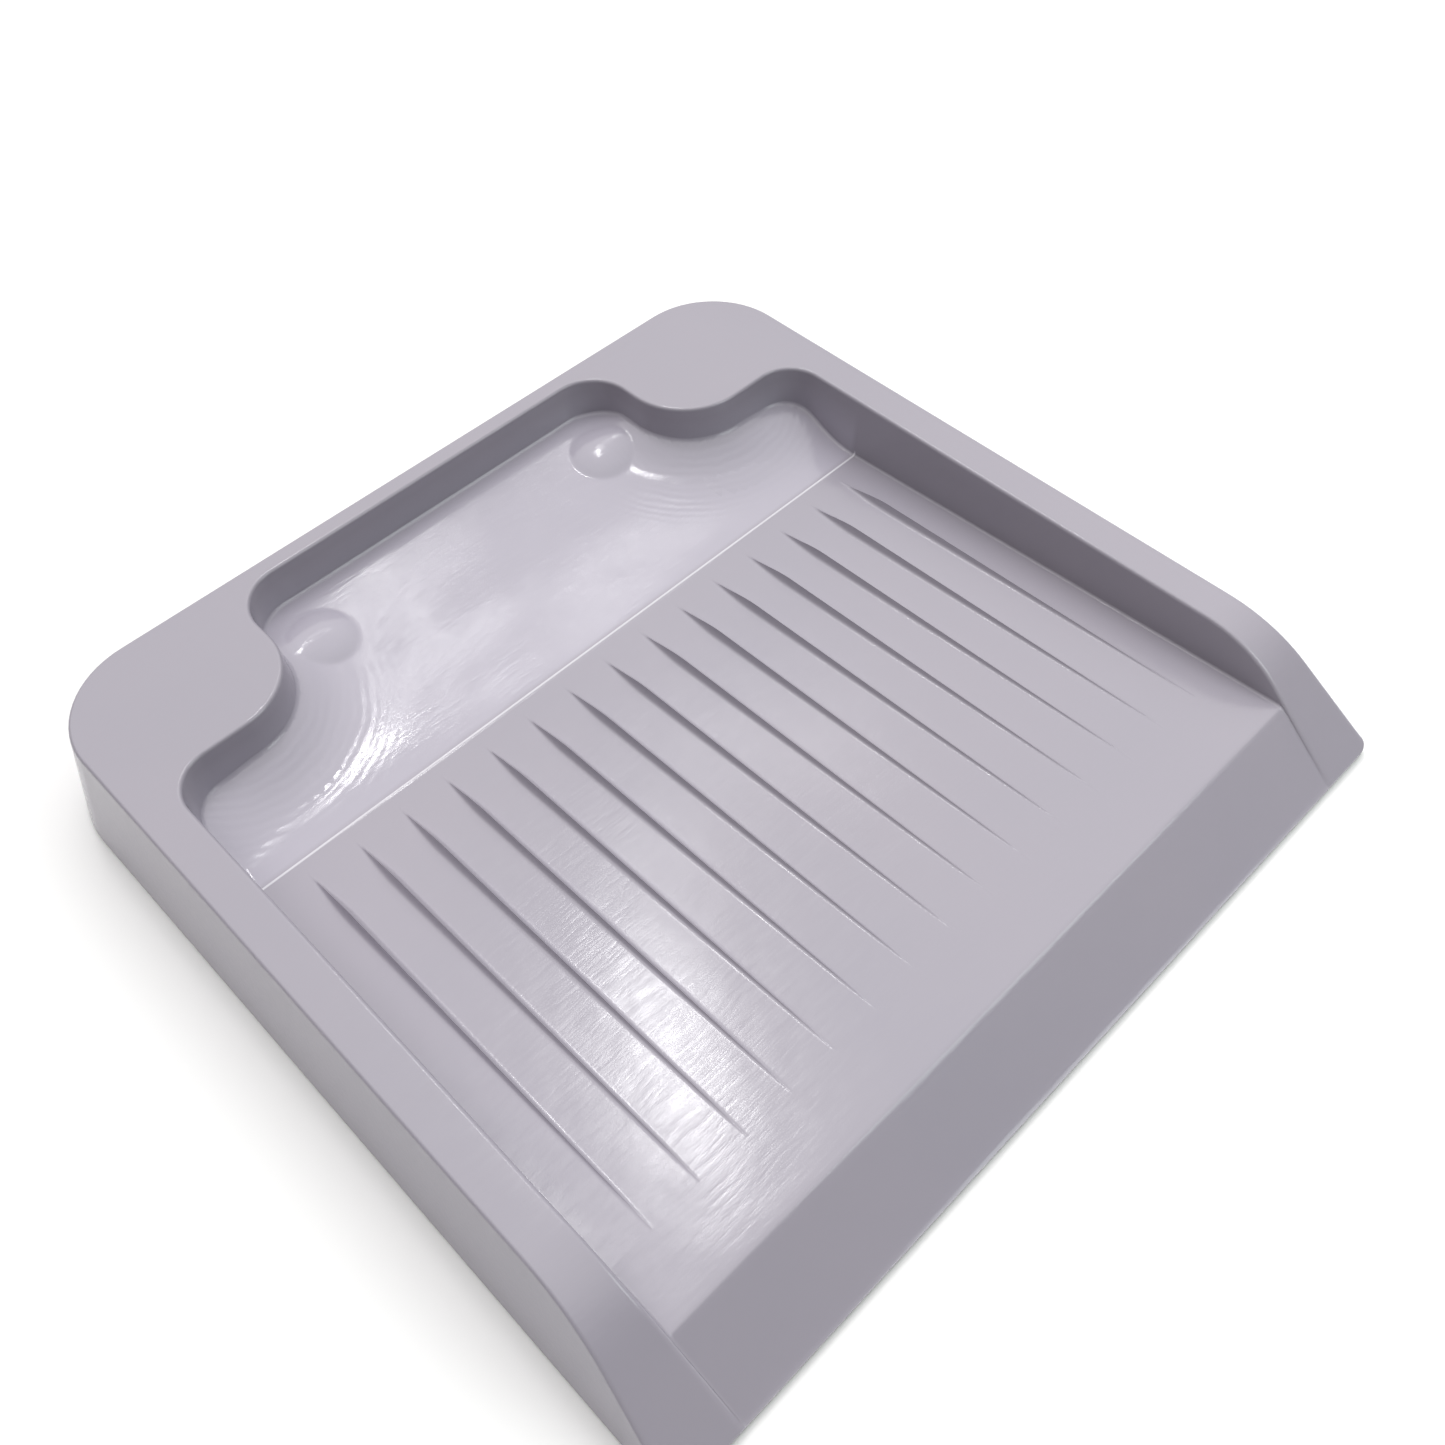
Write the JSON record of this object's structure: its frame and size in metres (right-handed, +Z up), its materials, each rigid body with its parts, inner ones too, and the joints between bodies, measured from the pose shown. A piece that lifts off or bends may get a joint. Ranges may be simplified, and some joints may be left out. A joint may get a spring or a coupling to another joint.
{
  "type": "paint roller tray",
  "caption": "Shallow square paint tray with a curved rear well, corner blocks, a ribbed ramp, a sloping front lip and rubber feet.",
  "frame": {"origin": "centre of the tray's footprint on the plane the feet stand on", "axes": "+Z up, +Y towards the rear well, -Y towards the front lip, +X to the right seen from the lip"},
  "size_m": [0.267, 0.261, 0.032],
  "materials": {
    "tray_plastic": "satin rim and ramp, glossier well floor",
    "foot_rubber": "matte"
  },
  "bodies": {
    "root": {"tray_body": "tray_plastic", "foot_rear_left": "foot_rubber", "foot_rear_right": "foot_rubber", "foot_front_left": "foot_rubber", "foot_front_right": "foot_rubber"}
  },
  "joints": []
}
